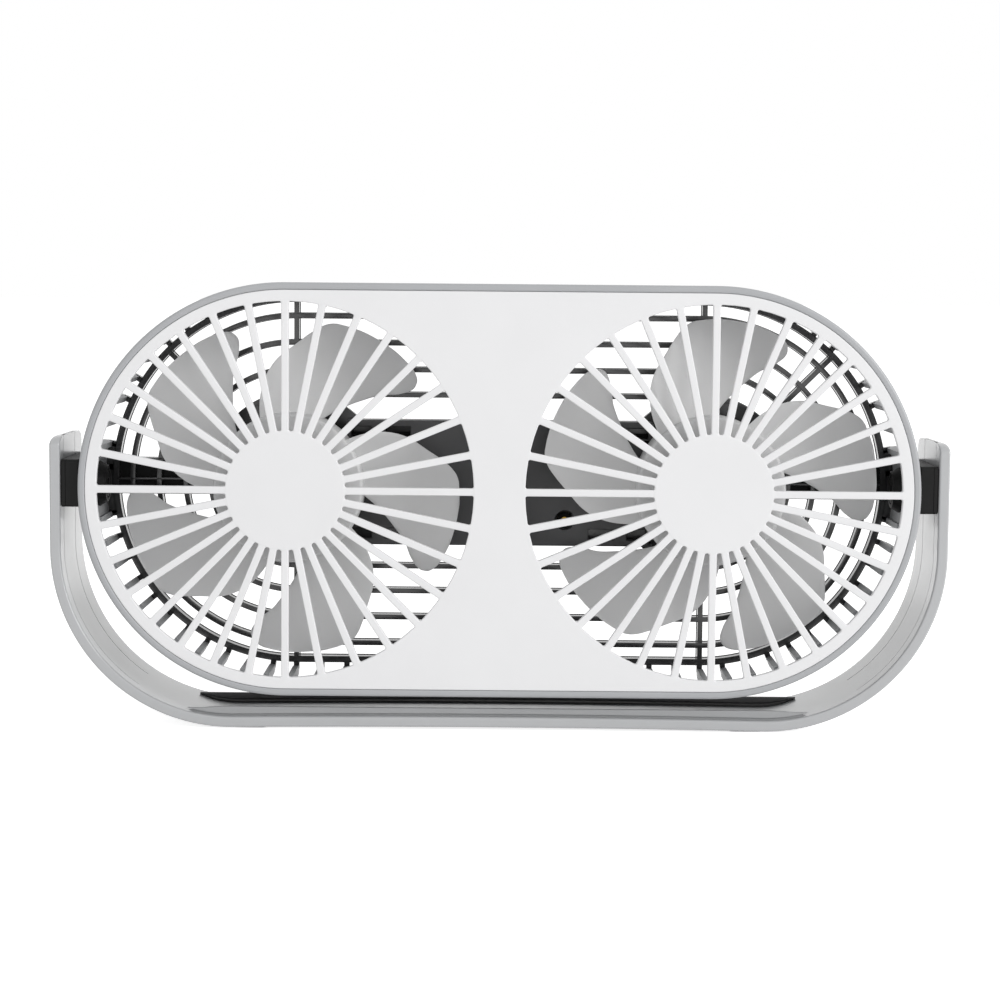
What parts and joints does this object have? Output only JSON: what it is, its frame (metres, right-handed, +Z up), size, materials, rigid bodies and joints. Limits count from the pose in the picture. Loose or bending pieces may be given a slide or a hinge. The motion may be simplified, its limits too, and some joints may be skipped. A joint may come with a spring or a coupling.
{
  "type": "portable dual fan",
  "caption": "Flat portable dual fan: two small axial fans in a slot-shaped head with a slotted front grille, tilting between the arms of a U-shaped stand.",
  "frame": {"origin": "on the floor, under the middle of the fan's bounding box", "axes": "+X to the right as seen from the front, +Y to the rear (the front faces -Y), +Z up"},
  "size_m": [0.281, 0.0468, 0.1401],
  "materials": {
    "pale_plastic": "satin moulded",
    "silver_plastic": "satin moulded",
    "blade_plastic": "semi-gloss moulded",
    "dark_plastic": "matte moulded",
    "black_rubber": "matte",
    "steel": "plated",
    "brass": "plain",
    "board_green": "solder mask",
    "cell_wrap": "foil pouch",
    "button_plastic": "satin moulded",
    "lens_plastic": "clear moulded"
  },
  "bodies": {
    "stand": {"u_stand": "silver_plastic", "arm_cover_left": "silver_plastic", "arm_cover_right": "silver_plastic", "stop_strip": "dark_plastic", "foot_pad_left": "black_rubber", "foot_pad_right": "black_rubber", "pivot_cap_left": "silver_plastic", "pivot_cap_right": "silver_plastic", "friction_plate_left": "black_rubber", "friction_plate_right": "black_rubber"},
    "head": {"front_grille": "pale_plastic", "housing_frame": "silver_plastic", "rear_cover": "dark_plastic", "centre_housing": "dark_plastic", "housing_screw_left": "brass", "housing_screw_right": "brass", "motor_left": "steel", "motor_right": "steel", "motor_bush_left": "brass", "motor_bush_right": "brass", "motor_screw_left_1": "brass", "motor_screw_left_2": "brass", "motor_screw_right_1": "brass", "motor_screw_right_2": "brass", "motor_lead_left": "black_rubber", "motor_lead_right": "black_rubber", "pivot_block_left": "black_rubber", "pivot_block_right": "black_rubber", "pivot_nut_left": "silver_plastic", "pivot_nut_right": "silver_plastic", "pivot_screw_left": "steel", "pivot_screw_right": "steel", "battery_cell": "cell_wrap", "circuit_board": "board_green", "power_inlet": "steel", "power_switch": "steel", "indicator_lens": "lens_plastic"},
    "impeller_left": {"impeller_left": "blade_plastic", "motor_shaft_left": "steel"},
    "impeller_right": {"impeller_right": "blade_plastic", "motor_shaft_right": "steel"},
    "power_button": {"power_button": "button_plastic"}
  },
  "joints": [
    {"name": "head_tilt", "type": "hinge", "parent": "stand", "child": "head", "pos_m": [0, -0.0014, 0.0756], "axis": [1, 0, 0], "continuous": true},
    {"name": "impeller_left_spin", "type": "hinge", "parent": "head", "child": "impeller_left", "pos_m": [-0.0667, -0.0014, 0.0756], "axis": [0, 1, 0], "continuous": true},
    {"name": "impeller_right_spin", "type": "hinge", "parent": "head", "child": "impeller_right", "pos_m": [0.0667, -0.0014, 0.0756], "axis": [0, 1, 0], "continuous": true},
    {"name": "power_button_press", "type": "slide", "parent": "head", "child": "power_button", "axis": [0, -1, 0], "range_m": [0, 0.0004], "stiffness_N_per_m": 800}
  ]
}
